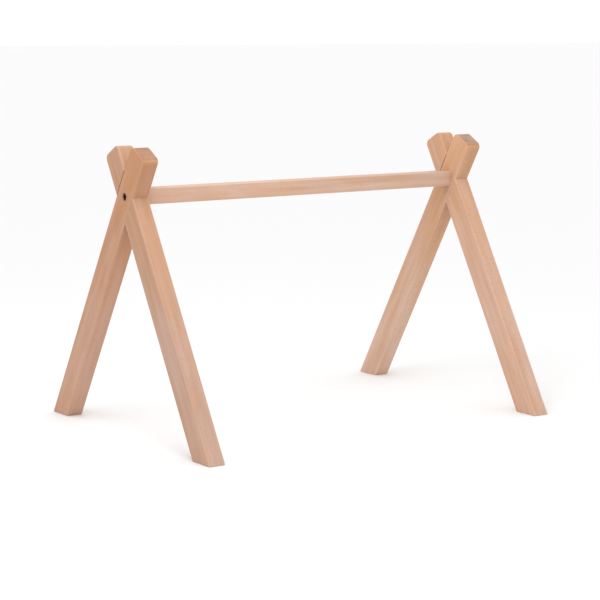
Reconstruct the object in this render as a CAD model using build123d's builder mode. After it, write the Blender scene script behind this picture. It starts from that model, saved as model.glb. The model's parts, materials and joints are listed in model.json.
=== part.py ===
from build123d import *
import math
import os

# Activity play gym: two A-shaped wooden end frames joined by one crossbar.
# Millimetres, +Z up, +X along the crossbar. The origin is on the floor, midway between the four
# feet. The right end frame is the left one turned half a turn about Z, so each piece at an end is
# made once, for the left (-X) end, and turned for the right.

# ------------------------------------------------------------------ driving sizes
BAR_LENGTH = 635.0              # between the inner faces of the two end frames
CROSSING_HEIGHT = 392.0         # from the floor to the point where two legs cross
LEG_SPREAD = 450.0              # between the centrelines of a frame's legs, on the floor
EAR_LENGTH = 83.0               # from the crossing to the leg's square upper end, along the leg

LEG_WIDTH = 43.0                # across the broad face
LEG_THICKNESS = 29.5            # along X
BAR_SIZE = 26.0                 # side of the crossbar's square section
EAR_CORNER_RADIUS = 9.0         # corners of the upper end, on the broad face
EDGE_RADIUS = 2.0               # rounded edges of the legs and of the crossbar
FOOT_CHAMFER = 1.5              # around each sole

# Halved joint of the two legs
LAP_SIDE_CLEARANCE = 0.15       # from a notch's shoulder to the leg in it, each side
LAP_DEPTH_CLEARANCE = 0.1       # between the two halves

# Socket-head bolt and its washer
BOLT_DIAMETER = 6.0
THREAD_ENGAGEMENT = 17.4        # length of bolt inside the crossbar
HEAD_DIAMETER = 10.0
HEAD_HEIGHT = 6.0
HEAD_CHAMFER = 0.6
SOCKET_ACROSS_FLATS = 5.0
SOCKET_DEPTH = 3.0
TIP_CHAMFER = 0.8
WASHER_DIAMETER = 12.0
WASHER_THICKNESS = 1.6
WASHER_CLEARANCE = 0.2          # radial, around the bolt
RECESS_CLEARANCE = 0.25         # radial, around the washer
RECESS_COVER = 0.9              # from the leg's face down to the top of the bolt's head
BOLT_HOLE_CLEARANCE = 0.25      # radial, through both legs

# Threaded insert in the end grain of the crossbar
INSERT_WALL = 2.0
INSERT_LENGTH = 20.0
INSERT_CLEARANCE = 0.05         # radial, in its bore
INSERT_END_GAP = 0.5            # at the bottom of its bore
INSERT_CHAMFER = 0.5
THREAD_CLEARANCE = 0.05         # radial, around the bolt
SLOT_WIDTH = 1.2                # screwdriver slot across the insert's mouth
SLOT_DEPTH = 1.5

# Dowel that keeps the crossbar from turning
DOWEL_DIAMETER = 6.0
DOWEL_IN_LEG = 10.0
DOWEL_IN_BAR = 18.0
DOWEL_CLEARANCE = 0.05          # radial, in its holes
DOWEL_END_GAP = 0.5             # at the bottom of each of its holes
DOWEL_COVER = 2.5               # wood between the dowel's hole and the insert's bore
DOWEL_CHAMFER = 0.8
FLUTE_RADIUS = 0.4              # glue flutes along the dowel
FLUTE_COUNT = 8

# ------------------------------------------------------------------ sizes that follow
lean = math.atan2(LEG_SPREAD / 2, CROSSING_HEIGHT)  # of each leg, from the vertical
inner_x = -BAR_LENGTH / 2                           # left frame's inner face and the bar's end
outer_x = inner_x - LEG_THICKNESS                   # left frame's outer face
lap_x = inner_x - LEG_THICKNESS / 2                 # where the two halves meet
crossing = (0, CROSSING_HEIGHT)                     # in Y and Z: the axis of bar and bolt

blank_below = CROSSING_HEIGHT / math.cos(lean) + LEG_WIDTH  # a leg's blank runs past the floor
notch_length = 4 * LEG_WIDTH                                # longer than the slanted crossing

bolt_radius = BOLT_DIAMETER / 2
bolt_hole_radius = bolt_radius + BOLT_HOLE_CLEARANCE
recess_radius = WASHER_DIAMETER / 2 + RECESS_CLEARANCE
recess_depth = RECESS_COVER + HEAD_HEIGHT + WASHER_THICKNESS
seat_x = outer_x + RECESS_COVER + HEAD_HEIGHT       # underside of the bolt's head
bolt_length = inner_x + THREAD_ENGAGEMENT - seat_x

insert_radius = bolt_radius + INSERT_WALL
insert_bore_radius = insert_radius + INSERT_CLEARANCE
dowel_radius = DOWEL_DIAMETER / 2
dowel_hole_radius = dowel_radius + DOWEL_CLEARANCE
dowel_offset = (insert_bore_radius + DOWEL_COVER + dowel_hole_radius) / math.sqrt(2)
dowel_centre = (dowel_offset, CROSSING_HEIGHT + dowel_offset)
dowel_length = DOWEL_IN_LEG + DOWEL_IN_BAR - 2 * DOWEL_END_GAP


def facing(side, x, centre):
    """Plane across X at x and centre (y, z), with its normal towards side (-1 or +1)."""
    return Plane(origin=(x, *centre), x_dir=(0, side, 0), z_dir=(side, 0, 0))


def along_leg(foot, x):
    """Plane across X at x on the crossing, its y axis up the leg whose foot is at side foot of Y."""
    return Plane(
        origin=(x, *crossing),
        x_dir=(0, math.cos(lean), foot * math.sin(lean)),
        z_dir=(1, 0, 0),
    )


def both_ends(plane):
    """The same place at the left and at the right end frame."""
    return [Rot(0, 0, turn) * plane.location for turn in (0, 180)]


def notched_leg(foot):
    """A left leg with its foot at side foot of Y, level at the floor and halved at the crossing.

    The leg whose foot is at +Y keeps the outer half of the joint, the other one the inner half.
    """
    with BuildPart() as leg:
        with BuildSketch(along_leg(foot, outer_x)) as blank:
            with Locations((0, (EAR_LENGTH - blank_below) / 2)):
                Rectangle(LEG_WIDTH, EAR_LENGTH + blank_below)
            fillet(blank.vertices().group_by(Axis.Y)[-1], EAR_CORNER_RADIUS)
        extrude(amount=LEG_THICKNESS)
        fillet(leg.faces().filter_by(Axis.X).edges(), EDGE_RADIUS)
        split(bisect_by=Plane.XY, keep=Keep.TOP)
        chamfer(leg.faces().sort_by(Axis.Z)[0].edges(), FOOT_CHAMFER)
        with BuildSketch(along_leg(-foot, lap_x - foot * LAP_DEPTH_CLEARANCE / 2)):
            Rectangle(LEG_WIDTH + 2 * LAP_SIDE_CLEARANCE, notch_length)
        extrude(amount=foot * LEG_THICKNESS, mode=Mode.SUBTRACT)
    return leg.part


def turned(left_piece):
    """The same piece at the right end frame."""
    with BuildPart() as right_piece:
        add(left_piece.part, rotation=(0, 0, 180))
    return right_piece


# ------------------------------------------------------------------ legs
# The outer half of the joint holds the head of the bolt in a recess.
with BuildPart() as leg_left_far:
    add(notched_leg(foot=1))
    with Locations(facing(-1, outer_x, crossing)):
        CounterBoreHole(bolt_hole_radius, recess_radius, recess_depth)

# The inner half lets the bolt through and takes the dowel.
with BuildPart() as leg_left_near:
    add(notched_leg(foot=-1))
    with Locations(facing(1, inner_x, crossing)):
        Hole(bolt_hole_radius)
    with Locations(facing(1, inner_x, dowel_centre)):
        Hole(dowel_hole_radius, depth=DOWEL_IN_LEG)

# ------------------------------------------------------------------ crossbar
with BuildPart() as crossbar:
    with BuildSketch(facing(1, inner_x, crossing)) as section:
        Rectangle(BAR_SIZE, BAR_SIZE)
        fillet(section.vertices(), EDGE_RADIUS)
    extrude(amount=BAR_LENGTH)
    with Locations(*both_ends(facing(-1, inner_x, crossing))):
        Hole(insert_bore_radius, depth=INSERT_LENGTH + INSERT_END_GAP)
    with Locations(*both_ends(facing(-1, inner_x, dowel_centre))):
        Hole(dowel_hole_radius, depth=DOWEL_IN_BAR)

# ------------------------------------------------------------------ bolt and washer
bolt_seat = facing(-1, seat_x, crossing)

with BuildPart() as bolt_left:
    with BuildSketch(bolt_seat):
        Circle(HEAD_DIAMETER / 2)
    extrude(amount=HEAD_HEIGHT)
    chamfer(bolt_left.edges().sort_by(Axis.X)[0], HEAD_CHAMFER)
    with BuildSketch(bolt_seat.offset(HEAD_HEIGHT)):
        RegularPolygon(SOCKET_ACROSS_FLATS / 2, 6, major_radius=False)
    extrude(amount=-SOCKET_DEPTH, mode=Mode.SUBTRACT)
    with BuildSketch(bolt_seat):
        Circle(bolt_radius)
    extrude(amount=-bolt_length)
    chamfer(bolt_left.edges().sort_by(Axis.X)[-1], TIP_CHAMFER)

with BuildPart() as washer_left:
    with BuildSketch(bolt_seat):
        Circle(WASHER_DIAMETER / 2)
        Circle(bolt_radius + WASHER_CLEARANCE, mode=Mode.SUBTRACT)
    extrude(amount=-WASHER_THICKNESS)

# ------------------------------------------------------------------ threaded insert
insert_mouth = facing(-1, inner_x, crossing)

with BuildPart() as insert_left:
    with BuildSketch(insert_mouth):
        Circle(insert_radius)
    extrude(amount=-INSERT_LENGTH)
    chamfer(insert_left.edges().filter_by(GeomType.CIRCLE), INSERT_CHAMFER)
    with Locations(insert_mouth):
        Hole(bolt_radius + THREAD_CLEARANCE)
    with BuildSketch(insert_mouth):
        Rectangle(2 * insert_radius, SLOT_WIDTH)
    extrude(amount=-SLOT_DEPTH, mode=Mode.SUBTRACT)

# ------------------------------------------------------------------ dowel
dowel_end = facing(1, inner_x - DOWEL_IN_LEG + DOWEL_END_GAP, dowel_centre)

with BuildPart() as dowel_left:
    with BuildSketch(dowel_end):
        Circle(dowel_radius)
    extrude(amount=dowel_length)
    chamfer(dowel_left.edges().filter_by(GeomType.CIRCLE), DOWEL_CHAMFER)
    with BuildSketch(dowel_end):
        with PolarLocations(dowel_radius, FLUTE_COUNT):
            Circle(FLUTE_RADIUS)
    extrude(amount=dowel_length, mode=Mode.SUBTRACT)

# ------------------------------------------------------------------ write the pieces
# Turned to the right end, the leg with its foot at +Y is the one with its foot at -Y.
pieces = {
    "crossbar": crossbar,
    "leg_left_near": leg_left_near,
    "leg_left_far": leg_left_far,
    "leg_right_near": turned(leg_left_far),
    "leg_right_far": turned(leg_left_near),
    "bolt_left": bolt_left,
    "bolt_right": turned(bolt_left),
    "washer_left": washer_left,
    "washer_right": turned(washer_left),
    "threaded_insert_left": insert_left,
    "threaded_insert_right": turned(insert_left),
    "dowel_left": dowel_left,
    "dowel_right": turned(dowel_left),
}

os.makedirs("parts", exist_ok=True)
for name, piece in pieces.items():
    piece.part.label = name
    export_step(piece.part, f"parts/{name}.step")
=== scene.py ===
"""Activity play gym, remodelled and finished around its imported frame.

Each wooden piece is cut from a beech board of its own, the bolts are turned with their knurling,
socket and thread, and the smaller fittings keep their shapes and get their metal or wood.
Metres, +Z up, +X along the crossbar.
"""

import json
import math

import bmesh
import bpy
from bpy.props import FloatProperty, FloatVectorProperty, IntProperty, PointerProperty
from bpy.types import Operator, Panel, PropertyGroup
from mathutils import Euler, Matrix, Vector


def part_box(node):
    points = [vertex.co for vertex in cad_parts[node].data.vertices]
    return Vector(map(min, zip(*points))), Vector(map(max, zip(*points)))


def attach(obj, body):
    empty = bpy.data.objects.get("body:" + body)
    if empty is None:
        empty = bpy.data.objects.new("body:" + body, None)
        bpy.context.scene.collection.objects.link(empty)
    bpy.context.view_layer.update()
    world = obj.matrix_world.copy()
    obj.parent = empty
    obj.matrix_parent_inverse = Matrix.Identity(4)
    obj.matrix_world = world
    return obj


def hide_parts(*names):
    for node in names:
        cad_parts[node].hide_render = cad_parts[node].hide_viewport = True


bl_info = {
    "name": "Play Gym Workshop",
    "version": (1, 0, 0),
    "blender": (4, 5, 0),
    "location": "3D View > Sidebar > Play Gym",
    "description": "Builds a wooden play gym's legs, crossbar and fittings, and a stage for it",
    "category": "Add Mesh",
}

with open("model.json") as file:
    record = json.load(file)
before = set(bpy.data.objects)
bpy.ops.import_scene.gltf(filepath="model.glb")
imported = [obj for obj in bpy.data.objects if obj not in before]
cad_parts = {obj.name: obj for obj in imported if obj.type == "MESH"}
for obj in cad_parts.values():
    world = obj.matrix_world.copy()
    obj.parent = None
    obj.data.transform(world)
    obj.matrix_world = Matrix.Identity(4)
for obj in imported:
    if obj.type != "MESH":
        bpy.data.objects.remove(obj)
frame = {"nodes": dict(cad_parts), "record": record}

BODY = "root"
MM = 0.001

# ------------------------------------------------------------------ places read from the frame
bar_low, bar_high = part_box("crossbar")
CROSSING_HEIGHT = (bar_low.z + bar_high.z) / 2
mounts = {mount["name"]: Vector(mount["pos_m"]) for mount in frame["record"]["mounts"]}
FOOT_REACH = abs(mounts["sole_left_near"].y)
LEAN = math.atan2(FOOT_REACH, CROSSING_HEIGHT)

# name of the leg: side of its foot in Y
LEGS = {"leg_left_near": -1, "leg_left_far": 1, "leg_right_near": -1, "leg_right_far": 1}
# The outer half of each halved joint belongs to these legs, and holds the bolt's head.
OUTER_LEGS = ("leg_left_far", "leg_right_near")
ENDS = {"left": -1, "right": 1}

# ------------------------------------------------------------------ how finely shapes are made
SAME = 0.001 * MM                   # points this close are merged in a finished piece
WELDED = 0.002 * MM                 # and this close in a screw, before it is cut
NEAR = 0.01 * MM                    # slack when edges and points are found by their place
NEAR_CIRCLE = 0.02 * MM             # the same on a circle
NODE_SLACK = 0.5 * MM               # from a piece's sides to its node's
SMOOTH_ANGLE = math.radians(30)     # faces that meet at less are shaded as one rounding

ROD_SIDES = 64
HOLE_SIDES = 32
WASHER_SIDES = 96
POINT_SIDES = 48
EAR_SEGMENTS = 10
EDGE_SEGMENTS = 5
RIM_SEGMENTS = 2                    # recess rims and foot chamfers
WASHER_SEGMENTS = 3

# A thread's tooth, as shares of its pitch. The two flanks share the rest.
ROOT_SHARE = 0.25
CREST_SHARE = 0.125
SCREW_STEPS = 32                    # of one turn
BLANK_SPARE = 0.1 * MM              # the blank that a thread is trimmed by stands out from it

KNURLED_SHARES = (0.18, 0.90)       # of the head's height, from its top: ends of the knurling
SHANK_OVERLAP = MM                  # shank and thread run on into what they join
CREST_DROP = 0.02 * MM              # from the shank's surface down to the thread's crests
CUT_OVERLAP = 0.05 * MM             # cutters and searches reach this far past a surface
SOCKET_POINT = 0.42                 # the drilled point's radius, as a share of the socket's flats
POINT_ANGLE = math.radians(31)      # of the drilled point's slope
COLLAR_BELOW_SLOT = 0.9 * MM        # the insert's plain collar runs this far past the slot
COLLAR_DROP = 0.04 * MM             # from the crests to the collar, which stays clear of them

# ------------------------------------------------------------------ boards
# Of each board: the tree's middle, seen across it (thickness, width), then the tint that its
# colour is multiplied by, which is partly the board's own tone and partly painted light, darker on
# the left frame and lighter on the right, and how much browner it gets towards its upper end, which
# is painted warm light thrown between the boards near the crossing
LEG_BOARDS = {
    "leg_left_near": ((0.085, 0.030), (0.885, 0.90, 0.93), 0.6),
    "leg_left_far": ((-0.105, 0.012), (0.92, 0.87, 0.84), 0.7),
    "leg_right_near": ((0.095, -0.026), (1.03, 1.06, 1.09), 0.5),
    "leg_right_far": ((-0.080, -0.034), (1.06, 1.12, 1.15), 0.7),
}
CROSSBAR_BOARD = ((0.06, 0.075), (1.02, 1.10, 1.18), 0.2)
DOWEL_TINT = (1.08, 1.08, 1.08)
DOWEL_PITH = (0.04, 0.05)

# Stretches of the noises: repeats in a metre, twice across the grain and once along it
WANDER_STRETCH = (9, 9, 2.2)
UNEVEN_STRETCH = (90, 90, 5)
STRENGTH_STRETCH = (120, 120, 4)
STREAK_STRETCH = (110, 110, 7)
FIBRE_STRETCH = (1500, 1500, 32)
PATCH_STRETCH = (34, 34, 8)
WANDER = 9 * MM                     # the grain wanders by up to half of this
RAY_SIZE = (9 * MM, 1.15 * MM, 3.6 * MM)    # across the rings, round them and along the grain
WEAR_HIGHLIGHT_FROM, WEAR_HIGHLIGHT_TO = 2.6 * MM, 0.5 * MM     # from an edge: wear and its painted highlight start and are full
BOUNCE_WARMING_FROM, BOUNCE_WARMING_TO = -0.34, 0.06      # along a board, from the crossing: where the painted warm bounce light starts and is full
STREAK_COLOUR = (0.86, 0.80, 0.76, 1)       # multiplies the board where streaks and rings darken it
END_PALE = (0.73, 0.76, 0.84, 1)            # multiplies a cut end's early wood
END_DARK = (0.55, 0.55, 0.59, 1)            # and its late wood
WEAR_HIGHLIGHT_LIFT = 1.18                            # worn edges with their painted highlight, as a share of the rosy tone

TURNING_MARKS = 5200.0              # in a metre of turned metal
WEAR_STRETCH = (420, 420, 420)
BOLT_ROUGHNESS, WASHER_ROUGHNESS, INSERT_ROUGHNESS = 0.42, 0.34, 0.30

# ------------------------------------------------------------------ stage
FLOOR_SIZE = 60
KEY_PLACE = (-0.47, -0.40, 1.16)
CAMERA_AIM = (-0.0031, -0.001, 0.1975)
SENSOR_WIDTH = 36                   # millimetres


# ------------------------------------------------------------------ what a user may change
class GymWoodSizes(PropertyGroup):
    """Sizes of the legs and of the wood's edges"""

    leg_width: FloatProperty(
        name="Leg width", description="Across the broad face", default=43 * MM, unit="LENGTH")
    ear_length: FloatProperty(
        name="Ear length", description="From the crossing to the leg's upper end", default=83 * MM,
        unit="LENGTH")
    ear_corner: FloatProperty(
        name="Ear corner", description="Radius of the corners of the upper end", default=9 * MM,
        unit="LENGTH")
    edge_radius: FloatProperty(
        name="Edge radius", description="Rounding of the long edges", default=2 * MM, unit="LENGTH")
    foot_chamfer: FloatProperty(
        name="Foot chamfer", description="Chamfer round each sole", default=1.5 * MM, unit="LENGTH")
    shoulder_gap: FloatProperty(
        name="Shoulder gap", description="Gap at each shoulder of the halved joint",
        default=0.15 * MM, unit="LENGTH")
    half_gap: FloatProperty(
        name="Half gap", description="Gap between the two halves of the joint",
        default=0.1 * MM, unit="LENGTH")


class GymHoleSizes(PropertyGroup):
    """Holes in legs and crossbar"""

    recess_radius: FloatProperty(
        name="Recess radius", description="Recess for the bolt's head and washer",
        default=6.25 * MM, unit="LENGTH")
    recess_depth: FloatProperty(
        name="Recess depth", description="From the leg's outer face", default=8.5 * MM,
        unit="LENGTH")
    recess_rim: FloatProperty(
        name="Recess rim", description="Chamfer on the rim of the recess", default=0.35 * MM,
        unit="LENGTH")
    bolt_radius: FloatProperty(
        name="Bolt hole radius", description="Through both legs", default=3.25 * MM, unit="LENGTH")
    insert_radius: FloatProperty(
        name="Insert bore radius", description="In the crossbar's end", default=5.05 * MM,
        unit="LENGTH")
    insert_depth: FloatProperty(
        name="Insert bore depth", description="In the crossbar's end", default=20.5 * MM,
        unit="LENGTH")
    dowel_radius: FloatProperty(
        name="Dowel hole radius", description="In leg and crossbar", default=3.05 * MM,
        unit="LENGTH")
    dowel_in_leg: FloatProperty(
        name="Dowel hole in leg", description="Depth in the inner leg", default=10 * MM,
        unit="LENGTH")
    dowel_in_bar: FloatProperty(
        name="Dowel hole in crossbar", description="Depth in the crossbar", default=18 * MM,
        unit="LENGTH")


class GymBoltSizes(PropertyGroup):
    """Sizes of the bolts"""

    head_height: FloatProperty(
        name="Head height", description="Of the bolt's head", default=6 * MM, unit="LENGTH")
    head_chamfer: FloatProperty(
        name="Head chamfer", description="On the rim of the head", default=0.6 * MM, unit="LENGTH")
    knurls: IntProperty(
        name="Knurls", description="Grooves round the head", default=40, min=8)
    knurl_depth: FloatProperty(
        name="Knurl depth", description="Of the grooves round the head", default=0.16 * MM,
        unit="LENGTH")
    socket_flats: FloatProperty(
        name="Socket flats", description="Across the flats of the hexagon socket",
        default=5 * MM, unit="LENGTH")
    socket_depth: FloatProperty(
        name="Socket depth", description="Of the hexagon socket", default=3 * MM, unit="LENGTH")
    socket_rim: FloatProperty(
        name="Socket rim", description="Chamfer on the rim of the socket", default=0.2 * MM,
        unit="LENGTH")
    shank_radius: FloatProperty(
        name="Shank radius", description="Of the plain part under the head", default=3 * MM,
        unit="LENGTH")
    thread_length: FloatProperty(
        name="Thread length", description="Of the bolt's thread", default=24 * MM, unit="LENGTH")
    thread_pitch: FloatProperty(
        name="Thread pitch", description="From one turn to the next", default=1 * MM, unit="LENGTH")
    thread_depth: FloatProperty(
        name="Thread depth", description="From crest to root", default=0.61 * MM, unit="LENGTH")
    tip_chamfer: FloatProperty(
        name="Tip chamfer", description="On the end of the thread", default=0.8 * MM,
        unit="LENGTH")


class GymInsertSizes(PropertyGroup):
    """Sizes of inserts and washers"""

    bore_radius: FloatProperty(
        name="Insert bore", description="Radius of the hole that the bolt screws into",
        default=3.05 * MM, unit="LENGTH")
    thread_pitch: FloatProperty(
        name="Wood thread pitch", description="From one turn to the next", default=2.5 * MM,
        unit="LENGTH")
    thread_depth: FloatProperty(
        name="Wood thread depth", description="From crest to root", default=0.9 * MM,
        unit="LENGTH")
    chamfer: FloatProperty(
        name="Insert chamfer", description="On both ends", default=0.5 * MM, unit="LENGTH")
    slot_width: FloatProperty(
        name="Slot width", description="For a screwdriver", default=1.2 * MM, unit="LENGTH")
    slot_depth: FloatProperty(
        name="Slot depth", description="For a screwdriver", default=1.5 * MM, unit="LENGTH")
    washer_rim: FloatProperty(
        name="Washer rim", description="Rounding of the washers", default=0.2 * MM, unit="LENGTH")
    washer_clearance: FloatProperty(
        name="Washer clearance", description="Round the bolt", default=0.2 * MM, unit="LENGTH")


class GymWoodLook(PropertyGroup):
    """Colours and grain of the wood"""

    rosy: FloatVectorProperty(
        name="Rosy wood", description="The board's pinker tone", subtype="COLOR", size=3,
        default=(0.600, 0.388, 0.290), min=0, max=1)
    tan: FloatVectorProperty(
        name="Tan wood", description="The board's browner tone", subtype="COLOR", size=3,
        default=(0.565, 0.298, 0.158), min=0, max=1)
    fleck: FloatVectorProperty(
        name="Flecks", description="Small rays in the surface", subtype="COLOR", size=3,
        default=(0.300, 0.165, 0.100), min=0, max=1)
    ring_width: FloatProperty(
        name="Ring width", description="One year's growth", default=2.6 * MM, unit="LENGTH")
    roughness: FloatProperty(
        name="Roughness", description="Of the sanded face", default=0.52, min=0, max=1)


class GymMetalLook(PropertyGroup):
    """Colours of the metals"""

    bolt: FloatVectorProperty(
        name="Bolt", description="Blackened steel", subtype="COLOR", size=3,
        default=(0.030, 0.027, 0.025), min=0, max=1)
    washer: FloatVectorProperty(
        name="Washer", description="Zinc-plated steel", subtype="COLOR", size=3,
        default=(0.42, 0.41, 0.40), min=0, max=1)
    insert: FloatVectorProperty(
        name="Insert", description="Brass", subtype="COLOR", size=3,
        default=(0.72, 0.50, 0.22), min=0, max=1)


class GymStageLook(PropertyGroup):
    """Floor, lights and camera"""

    floor: FloatVectorProperty(
        name="Floor", description="Colour of the floor", subtype="COLOR", size=3,
        default=(0.84, 0.84, 0.84), min=0, max=1)
    horizon: FloatProperty(
        name="Horizon", description="Strength of the sky at the horizon", default=1.03, min=0)
    zenith: FloatProperty(
        name="Zenith", description="Strength of the sky overhead", default=1.2, min=0)
    key_power: FloatProperty(
        name="Key light", description="Power of the large soft light", default=3.9, unit="POWER")
    key_size: FloatProperty(
        name="Key size", description="Side of the large soft light", default=0.5, unit="LENGTH")
    lens: FloatProperty(
        name="Lens", description="Focal length in millimetres", default=114.355, min=1)
    distance: FloatProperty(
        name="Distance", description="From the camera to its aim", default=3.261, unit="LENGTH")
    azimuth: FloatProperty(
        name="Azimuth", description="0 looks along +Y", default=math.radians(-35.458),
        subtype="ANGLE")
    elevation: FloatProperty(
        name="Elevation", description="Above the horizon", default=math.radians(8.618),
        subtype="ANGLE")
    roll: FloatProperty(
        name="Roll", description="About the line of sight", default=math.radians(0.3205),
        subtype="ANGLE")


# ------------------------------------------------------------------ modelling
def only(piece):
    """Select piece alone and make it active."""
    bpy.ops.object.select_all(action="DESELECT")
    piece.select_set(True)
    bpy.context.view_layer.objects.active = piece


def add_box(name, centre, size, turn=0.0):
    """A box of that size, turned about X, with its own axes left in its mesh."""
    bpy.ops.object.select_all(action="DESELECT")
    bpy.ops.mesh.primitive_cube_add(size=1, location=centre, rotation=(turn, 0, 0), scale=size)
    box = bpy.context.object
    box.name = name
    bpy.ops.object.transform_apply(location=False, rotation=False, scale=True)
    return box


def add_rod(name, centre, radius, length, vertices=ROD_SIDES):
    """A round rod along X."""
    bpy.ops.object.select_all(action="DESELECT")
    bpy.ops.mesh.primitive_cylinder_add(
        vertices=vertices, radius=radius, depth=length, location=centre,
        rotation=(0, math.pi / 2, 0))
    rod = bpy.context.object
    rod.name = name
    return rod


def place(piece):
    """Put the piece's place into its mesh."""
    only(piece)
    bpy.ops.object.transform_apply(location=True, rotation=True, scale=True)


def on_circle(point, x, radius, near=NEAR_CIRCLE):
    """True on a circle round the bolt's axis, at x."""
    from_axis = math.hypot(point.y, point.z - CROSSING_HEIGHT)
    return abs(point.x - x) < near and abs(from_axis - radius) < near


def within(point, x, radius, near=NEAR_CIRCLE):
    """True inside a circle round the bolt's axis, at x."""
    from_axis = math.hypot(point.y, point.z - CROSSING_HEIGHT)
    return abs(point.x - x) < near and from_axis < radius


def bevel_edges(piece, wanted, width, segments):
    """Round the edges for which wanted(one end, other end) is true."""
    only(piece)
    bpy.ops.object.mode_set(mode="EDIT")
    bpy.ops.mesh.select_mode(type="EDGE")
    bpy.ops.mesh.select_all(action="DESELECT")
    mesh = bmesh.from_edit_mesh(piece.data)
    for edge in mesh.edges:
        edge.select_set(wanted(edge.verts[0].co, edge.verts[1].co))
    bmesh.update_edit_mesh(piece.data)
    bpy.ops.mesh.bevel(offset=width, offset_type="OFFSET", segments=segments, affect="EDGES")
    bpy.ops.object.mode_set(mode="OBJECT")


def slice_piece(piece, point, normal, **settings):
    """Cut the piece along a plane. The settings say what is cleared and whether the cut is closed."""
    only(piece)
    bpy.ops.object.mode_set(mode="EDIT")
    bpy.ops.mesh.select_all(action="SELECT")
    bpy.ops.mesh.bisect(plane_co=point, plane_no=normal, **settings)
    bpy.ops.object.mode_set(mode="OBJECT")


def combine(piece, other, operation):
    """Join the other shape to the piece, keep what both share or cut it out, and remove it."""
    join = piece.modifiers.new("join", "BOOLEAN")
    join.operation = operation
    join.solver = "EXACT"
    join.object = other
    only(piece)
    bpy.ops.object.modifier_apply(modifier=join.name)
    bpy.data.objects.remove(other, do_unlink=True)


def cut_away(piece, cutter):
    """Cut the cutter's shape out of the piece."""
    combine(piece, cutter, "DIFFERENCE")


def add_thread(name, start_x, end_x, radius, depth, pitch, chamfer):
    """A threaded rod along X on the bolt's axis, with its end at end_x chamfered."""
    # One tooth: root, flank, crest and flank, turned into a screw longer than the rod
    flank_share = (1 - ROOT_SHARE - CREST_SHARE) / 2
    tooth = ((pitch * ROOT_SHARE, 0), (pitch * flank_share, depth), (pitch * CREST_SHARE, 0),
             (pitch * flank_share, -depth))
    turns = math.ceil(abs(end_x - start_x) / pitch) + 3
    # The screw's points lie one step apart, so the cuts are set half a step between them.
    between = pitch / (2 * SCREW_STEPS)
    first_x = min(start_x, end_x) - 1.5 * pitch - between
    bpy.ops.object.select_all(action="DESELECT")
    bpy.ops.mesh.primitive_plane_add(size=pitch, location=(first_x, 0, CROSSING_HEIGHT))
    screw = bpy.context.object
    screw.name = name
    bpy.ops.object.mode_set(mode="EDIT")
    bpy.ops.mesh.select_mode(type="VERT")
    bpy.ops.mesh.select_all(action="SELECT")
    bpy.ops.mesh.merge(type="CENTER")
    bpy.ops.transform.translate(value=(0, 0, radius - depth))
    for along, out in tooth:
        bpy.ops.mesh.extrude_region_move(TRANSFORM_OT_translate={"value": (along, 0, out)})
    bpy.ops.object.mode_set(mode="OBJECT")
    wind = screw.modifiers.new("wind", "SCREW")
    wind.axis = "X"
    wind.screw_offset = pitch
    wind.iterations = turns
    wind.steps = SCREW_STEPS
    wind.render_steps = SCREW_STEPS
    bpy.ops.object.modifier_apply(modifier=wind.name)
    place(screw)
    weld(screw)
    for x, cleared in ((first_x + pitch + between, "clear_inner"),
                       (first_x + (turns - 0.5) * pitch + between, "clear_outer")):
        slice_piece(screw, (x, 0, 0), (1, 0, 0), use_fill=True, **{cleared: True})
    weld(screw)

    outside = radius + BLANK_SPARE
    blank = add_rod("blank", ((start_x + end_x) / 2, 0, CROSSING_HEIGHT), outside,
                    abs(end_x - start_x))
    place(blank)
    bevel_edges(blank, lambda a, b: on_circle(a, end_x, outside) and on_circle(b, end_x, outside),
                chamfer + BLANK_SPARE, 1)
    combine(screw, blank, "INTERSECT")
    return screw


def weld(piece):
    """Merge the points that coincide and turn the faces outwards."""
    only(piece)
    bpy.ops.object.mode_set(mode="EDIT")
    bpy.ops.mesh.select_all(action="SELECT")
    bpy.ops.mesh.remove_doubles(threshold=WELDED)
    bpy.ops.mesh.normals_make_consistent(inside=False)
    bpy.ops.object.mode_set(mode="OBJECT")


def clean(piece):
    """Weld the mesh, turn its faces outwards and shade its roundings smooth and its flats flat."""
    only(piece)
    bpy.ops.object.mode_set(mode="EDIT")
    bpy.ops.mesh.select_all(action="SELECT")
    bpy.ops.mesh.remove_doubles(threshold=SAME)
    bpy.ops.mesh.dissolve_degenerate(threshold=SAME)
    bpy.ops.mesh.normals_make_consistent(inside=False)
    bpy.ops.object.mode_set(mode="OBJECT")
    bpy.ops.object.shade_smooth_by_angle(angle=SMOOTH_ANGLE)
    weighted = piece.modifiers.new("flats", "WEIGHTED_NORMAL")
    weighted.keep_sharp = True
    bpy.ops.object.modifier_apply(modifier=weighted.name)


def check_place(piece, node):
    """Stop if the piece isn't where its node is."""
    low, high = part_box(node)
    corners = [Vector(c) for c in piece.bound_box]
    for axis in range(3):
        here = [c[axis] for c in corners]
        if max(abs(min(here) - low[axis]), abs(max(here) - high[axis])) > NODE_SLACK:
            raise RuntimeError(f"{piece.name} doesn't fit {node}: {min(here)} to {max(here)}, "
                               f"but the node has {low[axis]} to {high[axis]}")


# ------------------------------------------------------------------ legs and crossbar
def end_of(node):
    """-1 at the left end frame, +1 at the right."""
    return ENDS["left" if "left" in node else "right"]


def dowel_centre(end):
    """Y and Z of the dowel at an end."""
    low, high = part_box("dowel_left" if end < 0 else "dowel_right")
    return (low.y + high.y) / 2, (low.z + high.z) / 2


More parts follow.
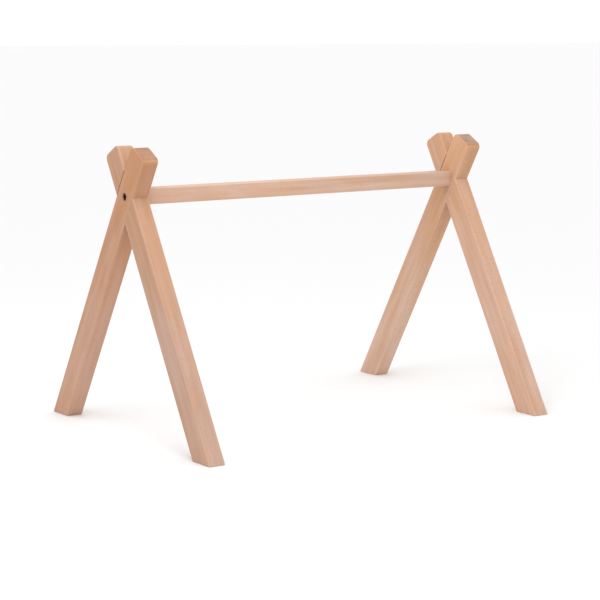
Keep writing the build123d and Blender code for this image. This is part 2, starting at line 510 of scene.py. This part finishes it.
def build_leg(node, foot, sizes, holes):
    """One leg: a board with rounded edges, leaned, cut level, halved and drilled."""
    low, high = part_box(node)
    thickness = high.x - low.x
    middle = (low.x + high.x) / 2
    end = end_of(node)
    outer = node in OUTER_LEGS
    below = CROSSING_HEIGHT / math.cos(LEAN) + sizes.leg_width
    length = below + sizes.ear_length
    centre_up = (sizes.ear_length - below) / 2
    centre = (middle, -foot * math.sin(LEAN) * centre_up,
              CROSSING_HEIGHT + math.cos(LEAN) * centre_up)
    leg = add_box("beech_" + node, centre, (thickness, sizes.leg_width, length), foot * LEAN)

    bevel_edges(leg, lambda a, b: min(a.z, b.z) > length / 2 - NEAR and a.x * b.x < 0,
                sizes.ear_corner, EAR_SEGMENTS)
    bevel_edges(leg, lambda a, b: abs(a.x - b.x) < NEAR and abs(a.x) > thickness / 2 - NEAR,
                sizes.edge_radius, EDGE_SEGMENTS)
    place(leg)
    slice_piece(leg, (0, 0, 0), (0, 0, 1), use_fill=True, clear_inner=True)
    bevel_edges(leg, lambda a, b: max(a.z, b.z) < NEAR, sizes.foot_chamfer, RIM_SEGMENTS)

    # The outer leg loses its inner half at the crossing, and the inner leg its outer half.
    lost = -end if outer else end
    notch_x = middle + lost * (thickness - sizes.half_gap) / 2
    notch = add_box("notch", (notch_x, 0, CROSSING_HEIGHT),
                    (thickness, sizes.leg_width + 2 * sizes.shoulder_gap, 4 * sizes.leg_width),
                    -foot * LEAN)
    cut_away(leg, notch)

    face_x = middle + end * thickness / 2
    if outer:
        cut_away(leg, add_rod("recess", (face_x, 0, CROSSING_HEIGHT), holes.recess_radius,
                              2 * holes.recess_depth))
        bevel_edges(leg, lambda a, b: (on_circle(a, face_x, holes.recess_radius)
                                       and on_circle(b, face_x, holes.recess_radius)),
                    holes.recess_rim, RIM_SEGMENTS)
    else:
        inner_x = middle - end * thickness / 2
        cut_away(leg, add_rod("dowel_hole", (inner_x, *dowel_centre(end)), holes.dowel_radius,
                              2 * holes.dowel_in_leg, HOLE_SIDES))
    cut_away(leg, add_rod("bolt_hole", (middle, 0, CROSSING_HEIGHT), holes.bolt_radius,
                          2 * thickness, HOLE_SIDES))
    clean(leg)
    check_place(leg, node)
    return leg


def build_crossbar(sizes, holes):
    """The square bar, rounded along its edges and bored at both ends."""
    centre = (bar_low + bar_high) / 2
    size = bar_high - bar_low
    bar = add_box("beech_crossbar", centre, size)
    bevel_edges(bar, lambda a, b: a.x * b.x < 0, sizes.edge_radius, EDGE_SEGMENTS)
    place(bar)
    for end in ENDS.values():
        end_x = centre.x + end * size.x / 2
        cut_away(bar, add_rod("insert_bore", (end_x, 0, CROSSING_HEIGHT), holes.insert_radius,
                              2 * holes.insert_depth))
        cut_away(bar, add_rod("dowel_hole", (end_x, *dowel_centre(end)), holes.dowel_radius,
                              2 * holes.dowel_in_bar, HOLE_SIDES))
    clean(bar)
    check_place(bar, "crossbar")
    return bar


# ------------------------------------------------------------------ bolts, washers and inserts
def build_bolt(node, sizes):
    """A socket-head bolt: knurled head, hexagon socket, plain shank and rolled thread."""
    low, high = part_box(node)
    end = end_of(node)
    top_x, tip_x = (high.x, low.x) if end > 0 else (low.x, high.x)
    radius = (high.z - low.z) / 2
    seat_x = top_x - end * sizes.head_height
    bolt = add_rod("socket_" + node, ((top_x + seat_x) / 2, 0, CROSSING_HEIGHT), radius,
                   sizes.head_height, 2 * sizes.knurls)
    place(bolt)
    bevel_edges(bolt, lambda a, b: on_circle(a, top_x, radius) and on_circle(b, top_x, radius),
                sizes.head_chamfer, 1)
    knurled = [top_x - end * share * sizes.head_height for share in KNURLED_SHARES]
    for x in knurled:
        slice_piece(bolt, (x, 0, 0), (1, 0, 0))
    press_knurls(bolt, knurled, radius, sizes)

    socket_radius = sizes.socket_flats / math.sqrt(3)
    socket = add_rod("socket", (top_x, 0, CROSSING_HEIGHT), socket_radius,
                     2 * sizes.socket_depth, 6)
    place(socket)
    cut_away(bolt, socket)
    corner = socket_radius + CUT_OVERLAP
    bevel_edges(bolt, lambda a, b: within(a, top_x, corner) and within(b, top_x, corner),
                sizes.socket_rim, 1)
    cut_away(bolt, add_point(top_x - end * sizes.socket_depth, -end,
                             SOCKET_POINT * sizes.socket_flats))

    thread_x = tip_x + end * sizes.thread_length
    shank_x = seat_x + end * SHANK_OVERLAP
    shank = add_rod("shank", ((shank_x + thread_x) / 2, 0, CROSSING_HEIGHT),
                    sizes.shank_radius, abs(shank_x - thread_x))
    place(shank)
    combine(bolt, shank, "UNION")
    thread = add_thread("thread", thread_x + end * SHANK_OVERLAP, tip_x,
                        sizes.shank_radius - CREST_DROP, sizes.thread_depth,
                        sizes.thread_pitch, sizes.tip_chamfer)
    combine(bolt, thread, "UNION")
    clean(bolt)
    check_place(bolt, node)
    return bolt


def press_knurls(bolt, knurled, radius, sizes):
    """Push every second edge round the head in, between the two loops."""
    only(bolt)
    bpy.ops.object.mode_set(mode="EDIT")
    bpy.ops.mesh.select_mode(type="VERT")
    bpy.ops.mesh.select_all(action="DESELECT")
    mesh = bmesh.from_edit_mesh(bolt.data)
    for vertex in mesh.verts:
        at_loop = min(abs(vertex.co.x - x) for x in knurled) < NEAR
        turn = math.atan2(vertex.co.z - CROSSING_HEIGHT, vertex.co.y) / math.tau
        vertex.select_set(at_loop and round(turn * 2 * sizes.knurls) % 2 == 1)
    bmesh.update_edit_mesh(bolt.data)
    inwards = 1 - sizes.knurl_depth / radius
    bpy.ops.transform.resize(value=(1, inwards, inwards),
                             center_override=(knurled[0], 0, CROSSING_HEIGHT))
    bpy.ops.object.mode_set(mode="OBJECT")


def add_point(x, towards, radius):
    """The cone that a drill leaves at the bottom of a hole."""
    depth = radius * math.tan(POINT_ANGLE)
    bpy.ops.object.select_all(action="DESELECT")
    bpy.ops.mesh.primitive_cone_add(
        vertices=POINT_SIDES, radius1=radius, depth=depth,
        location=(x + towards * (depth / 2 - CUT_OVERLAP), 0, CROSSING_HEIGHT),
        rotation=(0, towards * math.pi / 2, 0))
    return bpy.context.object


def build_washer(node, sizes, shank_radius):
    """A flat ring with rounded rims."""
    low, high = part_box(node)
    radius = (high.z - low.z) / 2
    thickness = high.x - low.x
    centre = ((low.x + high.x) / 2, 0, CROSSING_HEIGHT)
    bore = shank_radius + sizes.washer_clearance
    washer = add_rod("ring_" + node, centre, radius, thickness, WASHER_SIDES)
    place(washer)
    cut_away(washer, add_rod("bore", centre, bore, 2 * thickness, WASHER_SIDES))
    for x in (low.x, high.x):
        for rim in (radius, bore):
            bevel_edges(washer, lambda a, b: on_circle(a, x, rim) and on_circle(b, x, rim),
                        sizes.washer_rim, WASHER_SEGMENTS)
    clean(washer)
    check_place(washer, node)
    return washer


def build_insert(node, sizes):
    """A threaded bush with a coarse wood thread outside and a screwdriver slot at its mouth."""
    low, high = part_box(node)
    end = end_of(node)
    mouth_x, deep_x = (high.x, low.x) if end > 0 else (low.x, high.x)
    radius = (high.z - low.z) / 2
    collar_length = sizes.slot_depth + COLLAR_BELOW_SLOT
    insert = add_thread("screw_" + node, mouth_x - end * sizes.slot_depth / 2, deep_x, radius,
                        sizes.thread_depth, sizes.thread_pitch, sizes.chamfer)
    collar_radius = radius - COLLAR_DROP
    collar = add_rod("collar", (mouth_x - end * collar_length / 2, 0, CROSSING_HEIGHT),
                     collar_radius, collar_length)
    place(collar)
    bevel_edges(collar, lambda a, b: (on_circle(a, mouth_x, collar_radius)
                                      and on_circle(b, mouth_x, collar_radius)),
                sizes.chamfer, 1)
    combine(insert, collar, "UNION")
    cut_away(insert, add_rod("bore", ((low.x + high.x) / 2, 0, CROSSING_HEIGHT),
                             sizes.bore_radius, 2 * (high.x - low.x)))
    cut_away(insert, add_box("slot", (mouth_x, 0, CROSSING_HEIGHT),
                             (2 * sizes.slot_depth, 3 * radius, sizes.slot_width)))
    clean(insert)
    check_place(insert, node)
    return insert


# ------------------------------------------------------------------ materials
def add_node(tree, kind, sources=None, **settings):
    """Add a shader node. Each source is linked if it is a socket, and set if it is a value."""
    made = tree.nodes.new("ShaderNode" + kind)
    for name, value in settings.items():
        setattr(made, name, value)
    for name, value in (sources or {}).items():
        if isinstance(value, bpy.types.NodeSocket):
            tree.links.new(value, made.inputs[name])
        else:
            made.inputs[name].default_value = value
    return made


def math_of(tree, operation, *values):
    """One arithmetic step."""
    return add_node(tree, "Math", dict(enumerate(values)), operation=operation).outputs[0]


def blend(tree, share, first, second, mode="MIX"):
    """Mix two colours."""
    made = add_node(tree, "Mix", {0: share, 6: first, 7: second}, data_type="RGBA",
                    blend_type=mode)
    return made.outputs[2]


def ramp(tree, value, low, high, to_low=0.0, to_high=1.0):
    """Smooth step of value from low to high."""
    made = add_node(tree, "MapRange", {0: value, 1: low, 2: high, 3: to_low, 4: to_high},
                    interpolation_type="SMOOTHSTEP")
    return made.outputs[0]


def noise(tree, where, scale, detail=2.0, roughness=0.5):
    """Soft cloud over a place."""
    return add_node(tree, "TexNoise", {"Vector": where, "Scale": scale, "Detail": detail,
                                       "Roughness": roughness}).outputs["Fac"]


def stretched(tree, where, factors):
    """A place scaled by a factor along each axis."""
    return add_node(tree, "VectorMath", {0: where, 1: factors}, operation="MULTIPLY").outputs[0]


def new_material(name):
    """An empty material and its tree."""
    material = bpy.data.materials.new(name)
    material.use_nodes = True
    material.node_tree.nodes.clear()
    return material, material.node_tree


def add_surface(tree, sources):
    """The shader that the material ends in."""
    shader = add_node(tree, "BsdfPrincipled", sources)
    output = add_node(tree, "OutputMaterial")
    tree.links.new(shader.outputs[0], output.inputs[0])


def beech(name, centre, turn, section, pith, look, tint_and_painted_light, bounce_warming):
    """Beech of one board. The board lies round centre, its grain along Z turned by turn.

    section is its thickness and width, and pith the tree's middle in the same two directions,
    which sets how the rings cross each face. tint multiplies the colour of the whole board; for the
    legs it is partly the board's own tone and partly painted light, darker on the left frame and
    lighter on the right. warming says how much browner the board gets towards its upper end, as
    painted warm light thrown between the boards near the crossing.
    """
    material, tree = new_material(name)
    coordinates = add_node(tree, "TexCoord")
    board = add_node(tree, "Mapping", {"Vector": coordinates.outputs["Object"],
                                       "Location": centre, "Rotation": turn},
                     vector_type="TEXTURE").outputs[0]
    across = add_node(tree, "SeparateXYZ", {0: board}).outputs

    # Slow wandering of the grain along the board
    wander = add_node(tree, "TexNoise", {"Vector": stretched(tree, board, WANDER_STRETCH),
                                         "Scale": 1.0, "Detail": 2.0}).outputs["Color"]
    drift = add_node(tree, "VectorMath", {0: wander, 1: (0.5, 0.5, 0.5)},
                     operation="SUBTRACT").outputs[0]
    drift = stretched(tree, drift, (WANDER, WANDER, 0))
    grain = add_node(tree, "VectorMath", {0: board, 1: drift}, operation="ADD").outputs[0]

    # Round the pith: distance across the rings, and length round them
    from_pith = add_node(tree, "VectorMath", {0: grain, 1: (*pith, 0)},
                         operation="SUBTRACT").outputs[0]
    parts = add_node(tree, "SeparateXYZ", {0: from_pith})
    flat = add_node(tree, "CombineXYZ", {0: parts.outputs[0], 1: parts.outputs[1]}).outputs[0]
    radius = add_node(tree, "VectorMath", {0: flat}, operation="LENGTH").outputs["Value"]
    angle = math_of(tree, "ARCTAN2", parts.outputs[1], parts.outputs[0])
    around = math_of(tree, "MULTIPLY", angle, math.hypot(*pith))

    # Rings: pale early wood that deepens to a thin late line, some years more than others
    uneven = noise(tree, stretched(tree, from_pith, UNEVEN_STRETCH), 1.0)
    rings = math_of(tree, "ADD", math_of(tree, "DIVIDE", radius, look.ring_width),
                    math_of(tree, "MULTIPLY", uneven, 2.4))
    year = math_of(tree, "FRACT", rings)
    late = math_of(tree, "MULTIPLY", ramp(tree, year, 0.15, 0.88), ramp(tree, year, 1.0, 0.90))
    strength = ramp(tree, noise(tree, stretched(tree, from_pith, STRENGTH_STRETCH), 1.0),
                    0.35, 0.7)
    late = math_of(tree, "MULTIPLY", late, strength)

    # Broad streaks, fine fibres and rays
    streaks = noise(tree, stretched(tree, from_pith, STREAK_STRETCH), 1.0, 3.0)
    fibres = noise(tree, stretched(tree, from_pith, FIBRE_STRETCH), 1.0, 3.0, 0.6)
    ray_place = add_node(tree, "CombineXYZ", {
        axis: math_of(tree, "DIVIDE", way, RAY_SIZE[axis])
        for axis, way in enumerate((radius, around, parts.outputs[2]))}).outputs[0]
    cells = add_node(tree, "TexVoronoi", {"Vector": ray_place, "Scale": 1.0})
    cell_tone = add_node(tree, "SeparateColor", {0: cells.outputs["Color"]}).outputs[0]
    rays = math_of(tree, "MULTIPLY", ramp(tree, cells.outputs["Distance"], 0.40, 0.16),
                   ramp(tree, cell_tone, 0.35, 0.9))

    # Cut ends
    normal = add_node(tree, "NewGeometry").outputs["Normal"]
    grain_axis = Euler(turn).to_matrix() @ Vector((0, 0, 1))
    facing = add_node(tree, "VectorMath", {0: normal, 1: grain_axis},
                      operation="DOT_PRODUCT").outputs["Value"]
    cut_end = ramp(tree, math_of(tree, "ABSOLUTE", facing), 0.72, 0.92)

    # The long edges are a little paler: partly polished by hands, partly a painted highlight where
    # their roundings catch the light
    edges = [ramp(tree, math_of(tree, "ABSOLUTE", across[axis]), size / 2 - WEAR_HIGHLIGHT_FROM,
                  size / 2 - WEAR_HIGHLIGHT_TO) for axis, size in enumerate(section)]
    wear_and_highlight = math_of(tree, "MULTIPLY", *edges)
    wear_and_highlight = math_of(tree, "MULTIPLY", wear_and_highlight, ramp(tree, streaks, 0.2, 0.7, 0.35, 1.0))

    # Colour: rosy in some patches and tan in others, then darkened, flecked, worn and given a painted
    # edge highlight
    patches = ramp(tree, noise(tree, stretched(tree, from_pith, PATCH_STRETCH), 1.0), 0.36, 0.64)
    # Browner towards the upper end: painted warm light thrown between the boards near the crossing
    higher = ramp(tree, across[2], BOUNCE_WARMING_FROM, BOUNCE_WARMING_TO)
    warmth = math_of(tree, "ADD", math_of(tree, "MULTIPLY", patches, 0.4),
                     math_of(tree, "MULTIPLY", higher, bounce_warming))
    # The tint, partly painted light, multiplies both tones
    rosy = [shade * part for shade, part in zip(look.rosy, tint_and_painted_light)]
    tan = [shade * part for shade, part in zip(look.tan, tint_and_painted_light)]
    colour = blend(tree, warmth, (*rosy, 1), (*tan, 1))
    tone = math_of(tree, "ADD", math_of(tree, "MULTIPLY", ramp(tree, streaks, 0.3, 0.72), 0.7),
                   math_of(tree, "MULTIPLY", late, 0.45))
    colour = blend(tree, tone, colour, STREAK_COLOUR, "MULTIPLY")
    colour = blend(tree, math_of(tree, "MULTIPLY", rays, 0.35), colour, (*look.fleck, 1))
    colour = blend(tree, math_of(tree, "MULTIPLY", ramp(tree, fibres, 0.35, 0.7), 0.10), colour,
                   (*look.fleck, 1))
    # Worn edges paler: partly wear, partly a painted highlight
    colour = blend(tree, math_of(tree, "MULTIPLY", wear_and_highlight, 0.35), colour,
                   (*[WEAR_HIGHLIGHT_LIFT * shade for shade in rosy], 1))
    end_shade = blend(tree, late, END_PALE, END_DARK)
    colour = blend(tree, cut_end, colour, end_shade, "MULTIPLY")

    # Sheen and relief
    roughness = math_of(tree, "ADD", look.roughness - 0.05,
                        math_of(tree, "MULTIPLY", fibres, 0.14))
    roughness = math_of(tree, "SUBTRACT", roughness, math_of(tree, "MULTIPLY", wear_and_highlight, 0.08))
    relief = math_of(tree, "SUBTRACT", math_of(tree, "MULTIPLY", fibres, 0.6),
                     math_of(tree, "ADD", math_of(tree, "MULTIPLY", rays, 0.5),
                             math_of(tree, "MULTIPLY", late, -0.25)))
    bump = add_node(tree, "Bump", {"Strength": 0.35, "Distance": 0.12 * MM, "Height": relief})
    add_surface(tree, {"Base Color": colour, "Roughness": roughness, "Normal": bump.outputs[0],
                       "IOR": 1.45, "Specular IOR Level": 0.35})
    return material


def turned_metal(name, colour, roughness):
    """Metal turned on a lathe round the bolt's axis, with its turning marks and a little wear."""
    material, tree = new_material(name)
    coordinates = add_node(tree, "TexCoord")
    lathe = add_node(tree, "Mapping", {"Vector": coordinates.outputs["Object"],
                                       "Location": (0, 0, CROSSING_HEIGHT)},
                     vector_type="TEXTURE").outputs[0]
    along = add_node(tree, "SeparateXYZ", {0: lathe}).outputs[0]
    radius = add_node(tree, "VectorMath", {0: stretched(tree, lathe, (0, 1, 1))},
                      operation="LENGTH").outputs["Value"]
    marks = noise(tree, add_node(tree, "CombineXYZ", {
        0: math_of(tree, "MULTIPLY", along, TURNING_MARKS),
        1: math_of(tree, "MULTIPLY", radius, TURNING_MARKS)}).outputs[0], 1.0)
    wear = ramp(tree, noise(tree, stretched(tree, lathe, WEAR_STRETCH), 1.0, 3.0), 0.4, 0.7)
    tone = math_of(tree, "ADD", math_of(tree, "MULTIPLY", marks, 0.6),
                   math_of(tree, "MULTIPLY", wear, 0.4))
    colour = blend(tree, tone, (*[0.75 * c for c in colour], 1), (*[1.25 * c for c in colour], 1))
    rough = math_of(tree, "ADD", roughness - 0.08, math_of(tree, "MULTIPLY", marks, 0.12))
    rough = math_of(tree, "ADD", rough, math_of(tree, "MULTIPLY", wear, 0.10))
    bump = add_node(tree, "Bump", {"Strength": 0.25, "Distance": 0.02 * MM, "Height": marks})
    add_surface(tree, {"Base Color": colour, "Metallic": 1.0, "Roughness": rough,
                       "Normal": bump.outputs[0]})
    return material


def finish_piece(piece, material, slot, *nodes):
    """Give the piece its material, its body and its nodes."""
    piece.data.materials.clear()
    piece.data.materials.append(material)
    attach(piece, BODY)
    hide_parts(*nodes)


# ------------------------------------------------------------------ operators
class GYM_OT_build_legs(Operator):
    """Build the four legs, halved together in pairs"""

    bl_idname = "play_gym.build_legs"
    bl_label = "Build Legs"

    def execute(self, context):
        scene = context.scene
        for node, foot in LEGS.items():
            pith, tint_and_painted_light, bounce_warming = LEG_BOARDS[node]
            leg = build_leg(node, foot, scene.gym_wood, scene.gym_holes)
            low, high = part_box(node)
            centre = ((low.x + high.x) / 2, 0, CROSSING_HEIGHT)
            section = (high.x - low.x, scene.gym_wood.leg_width)
            wood = beech("beech_" + node, centre, (foot * LEAN, 0, 0), section, pith,
                         scene.gym_look, tint_and_painted_light, bounce_warming)
            finish_piece(leg, wood, "beech", node)
        return {"FINISHED"}


class GYM_OT_build_crossbar(Operator):
    """Build the crossbar, bored for its inserts and dowels"""

    bl_idname = "play_gym.build_crossbar"
    bl_label = "Build Crossbar"

    def execute(self, context):
        scene = context.scene
        bar = build_crossbar(scene.gym_wood, scene.gym_holes)
        side = bar_high.z - bar_low.z
        pith, tint_and_painted_light, bounce_warming = CROSSBAR_BOARD
        wood = beech("beech_crossbar", (0, 0, CROSSING_HEIGHT), (0, -math.pi / 2, 0), (side, side),
                     pith, scene.gym_look, tint_and_painted_light, bounce_warming)
        finish_piece(bar, wood, "beech", "crossbar")
        return {"FINISHED"}


class GYM_OT_build_bolts(Operator):
    """Build the two socket-head bolts"""

    bl_idname = "play_gym.build_bolts"
    bl_label = "Build Bolts"

    def execute(self, context):
        scene = context.scene
        for side in ENDS:
            node = "bolt_" + side
            bolt = build_bolt(node, scene.gym_bolts)
            metal = turned_metal("black_" + node, scene.gym_metal.bolt, BOLT_ROUGHNESS)
            finish_piece(bolt, metal, "bolt_steel", node)
        return {"FINISHED"}


class GYM_OT_build_washers(Operator):
    """Build the washer under each bolt's head"""

    bl_idname = "play_gym.build_washers"
    bl_label = "Build Washers"

    def execute(self, context):
        scene = context.scene
        for side in ENDS:
            node = "washer_" + side
            washer = build_washer(node, scene.gym_inserts, scene.gym_bolts.shank_radius)
            metal = turned_metal("zinc_" + node, scene.gym_metal.washer, WASHER_ROUGHNESS)
            finish_piece(washer, metal, "washer_steel", node)
        return {"FINISHED"}


class GYM_OT_build_inserts(Operator):
    """Build the threaded insert in each end of the crossbar"""

    bl_idname = "play_gym.build_inserts"
    bl_label = "Build Inserts"

    def execute(self, context):
        scene = context.scene
        for side in ENDS:
            node = "threaded_insert_" + side
            insert = build_insert(node, scene.gym_inserts)
            metal = turned_metal("brass_" + node, scene.gym_metal.insert, INSERT_ROUGHNESS)
            finish_piece(insert, metal, "insert_brass", node)
        return {"FINISHED"}


class GYM_OT_finish_dowels(Operator):
    """Give the fluted dowels, which keep their shape, their wood"""

    bl_idname = "play_gym.finish_dowels"
    bl_label = "Finish Dowels"

    def execute(self, context):
        scene = context.scene
        for side, end in ENDS.items():
            node = "dowel_" + side
            low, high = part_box(node)
            # A section far wider than the dowel, so that no edge of it gets the paler worn edge with
            # its painted highlight
            wide = 4 * (high.z - low.z)
            pith = (DOWEL_PITH[0], end * DOWEL_PITH[1])
            wood = beech("dowel_wood_" + side, (low + high) / 2, (0, math.pi / 2, 0), (wide, wide),
                         pith, scene.gym_look, DOWEL_TINT, 0)
            for slot in frame["nodes"][node].material_slots:
                slot.material = wood
        return {"FINISHED"}


class GYM_OT_set_stage(Operator):
    """Lay the floor, hang the lights and set up the camera"""

    bl_idname = "play_gym.set_stage"
    bl_label = "Set Stage"

    def execute(self, context):
        scene = context.scene
        look = scene.gym_stage
        bpy.ops.object.select_all(action="DESELECT")
        bpy.ops.mesh.primitive_plane_add(size=FLOOR_SIZE, location=(0, 0, 0))
        floor = context.object
        floor.name = "floor"
        material, tree = new_material("pale_floor")
        add_surface(tree, {"Base Color": (*look.floor, 1), "Roughness": 0.9,
                           "Specular IOR Level": 0.1})
        floor.data.materials.append(material)

        scene.world = self.sky(look)
        scene.view_settings.view_transform = "Standard"
        self.add_light("key", KEY_PLACE, look.key_size, look.key_power)
        self.add_camera(scene, look)
        return {"FINISHED"}

    def sky(self, look):
        """A white sky, brighter overhead than at the horizon."""
        world = bpy.data.worlds.new("studio")
        world.use_nodes = True
        tree = world.node_tree
        tree.nodes.clear()
        direction = add_node(tree, "TexCoord").outputs["Generated"]
        height = add_node(tree, "SeparateXYZ", {0: direction}).outputs[2]
        strength = ramp(tree, height, 0.0, 1.0, look.horizon, look.zenith)
        background = add_node(tree, "Background", {"Color": (1, 1, 1, 1), "Strength": strength})
        output = add_node(tree, "OutputWorld")
        tree.links.new(background.outputs[0], output.inputs[0])
        return world

    def add_light(self, name, location, size, power):
        """A large square light aimed at the middle of the gym."""
        bpy.ops.object.select_all(action="DESELECT")
        aim = Vector((0, 0, CROSSING_HEIGHT / 2))
        turn = (Vector(location) - aim).to_track_quat("Z", "Y").to_euler()
        bpy.ops.object.light_add(type="AREA", location=location, rotation=turn)
        light = bpy.context.object
        light.name = name
        light.data.shape = "SQUARE"
        light.data.size = size
        light.data.energy = power

    def add_camera(self, scene, look):
        """A camera on a turntable round the gym."""
        aim = Vector(CAMERA_AIM)
        across = math.cos(look.elevation)
        back = Vector((math.sin(look.azimuth) * across, -math.cos(look.azimuth) * across,
                       math.sin(look.elevation)))
        turn = back.to_track_quat("Z", "Y") @ Matrix.Rotation(look.roll, 3, "Z").to_quaternion()
        bpy.ops.object.select_all(action="DESELECT")
        bpy.ops.object.camera_add(location=aim + back * look.distance, rotation=turn.to_euler())
        camera = bpy.context.object
        camera.data.sensor_width = SENSOR_WIDTH
        camera.data.lens = look.lens
        scene.camera = camera


class GYM_PT_panel(Panel):
    """Every size, colour and operator of the play gym, in the sidebar"""

    bl_label = "Play Gym"
    bl_idname = "GYM_PT_panel"
    bl_space_type = "VIEW_3D"
    bl_region_type = "UI"
    bl_category = "Play Gym"

    def draw(self, context):
        layout = self.layout
        for name, group in GROUPS.items():
            box = layout.box()
            box.label(text=group.__name__)
            for prop in group.__annotations__:
                box.prop(getattr(context.scene, name), prop)
        for operator in OPERATORS:
            layout.operator(operator.bl_idname)


GROUPS = {
    "gym_wood": GymWoodSizes,
    "gym_holes": GymHoleSizes,
    "gym_bolts": GymBoltSizes,
    "gym_inserts": GymInsertSizes,
    "gym_look": GymWoodLook,
    "gym_metal": GymMetalLook,
    "gym_stage": GymStageLook,
}
OPERATORS = (
    GYM_OT_build_legs,
    GYM_OT_build_crossbar,
    GYM_OT_build_bolts,
    GYM_OT_build_washers,
    GYM_OT_build_inserts,
    GYM_OT_finish_dowels,
    GYM_OT_set_stage,
)


def register():
    """Register the classes and give the scene its sizes and looks."""
    for cls in (*GROUPS.values(), *OPERATORS, GYM_PT_panel):
        bpy.utils.register_class(cls)
    for name, group in GROUPS.items():
        setattr(bpy.types.Scene, name, PointerProperty(type=group))


def unregister():
    """Take back what register did."""
    for name in GROUPS:
        delattr(bpy.types.Scene, name)
    for cls in reversed((*GROUPS.values(), *OPERATORS, GYM_PT_panel)):
        bpy.utils.unregister_class(cls)


def main():
    """Build every piece and the stage."""
    register()
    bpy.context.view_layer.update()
    bpy.ops.play_gym.build_legs()
    bpy.ops.play_gym.build_crossbar()
    bpy.ops.play_gym.build_bolts()
    bpy.ops.play_gym.build_washers()
    bpy.ops.play_gym.build_inserts()
    bpy.ops.play_gym.finish_dowels()
    bpy.ops.play_gym.set_stage()


if __name__ == "__main__":
    main()
